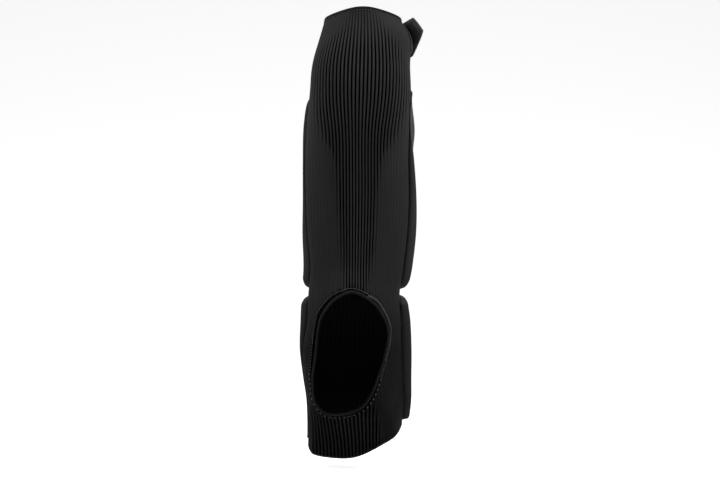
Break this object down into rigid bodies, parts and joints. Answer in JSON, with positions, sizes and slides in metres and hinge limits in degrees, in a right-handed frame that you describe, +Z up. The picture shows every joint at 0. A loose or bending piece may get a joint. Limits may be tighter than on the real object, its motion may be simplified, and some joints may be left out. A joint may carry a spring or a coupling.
{
  "type": "shin and instep guard",
  "caption": "Slip-on shin and instep guard: a rib-knit sleeve for the lower leg and foot, open at the heel and toes, with a padded front and a strap below the knee.",
  "frame": {"origin": "middle of the ankle inside the sleeve, on the line up the leg", "axes": "+Z up the leg, -Y to the toes, -X to the outer side of the foot"},
  "size_m": [0.1384, 0.1606, 0.517],
  "materials": {
    "knit": "matte rib knit",
    "pad_cover": "matte cloth over foam",
    "webbing": "woven elastic",
    "hook_tape": "fine hooks",
    "thread": "overlock stitches"
  },
  "bodies": {
    "root": {"knit_sock": "knit", "knee_hem": "thread", "heel_hem": "thread", "toe_hem": "thread", "shin_pad": "pad_cover", "instep_pad": "pad_cover", "knee_strap": "webbing", "hook_patch": "hook_tape", "loop_patch": "webbing"}
  },
  "joints": []
}
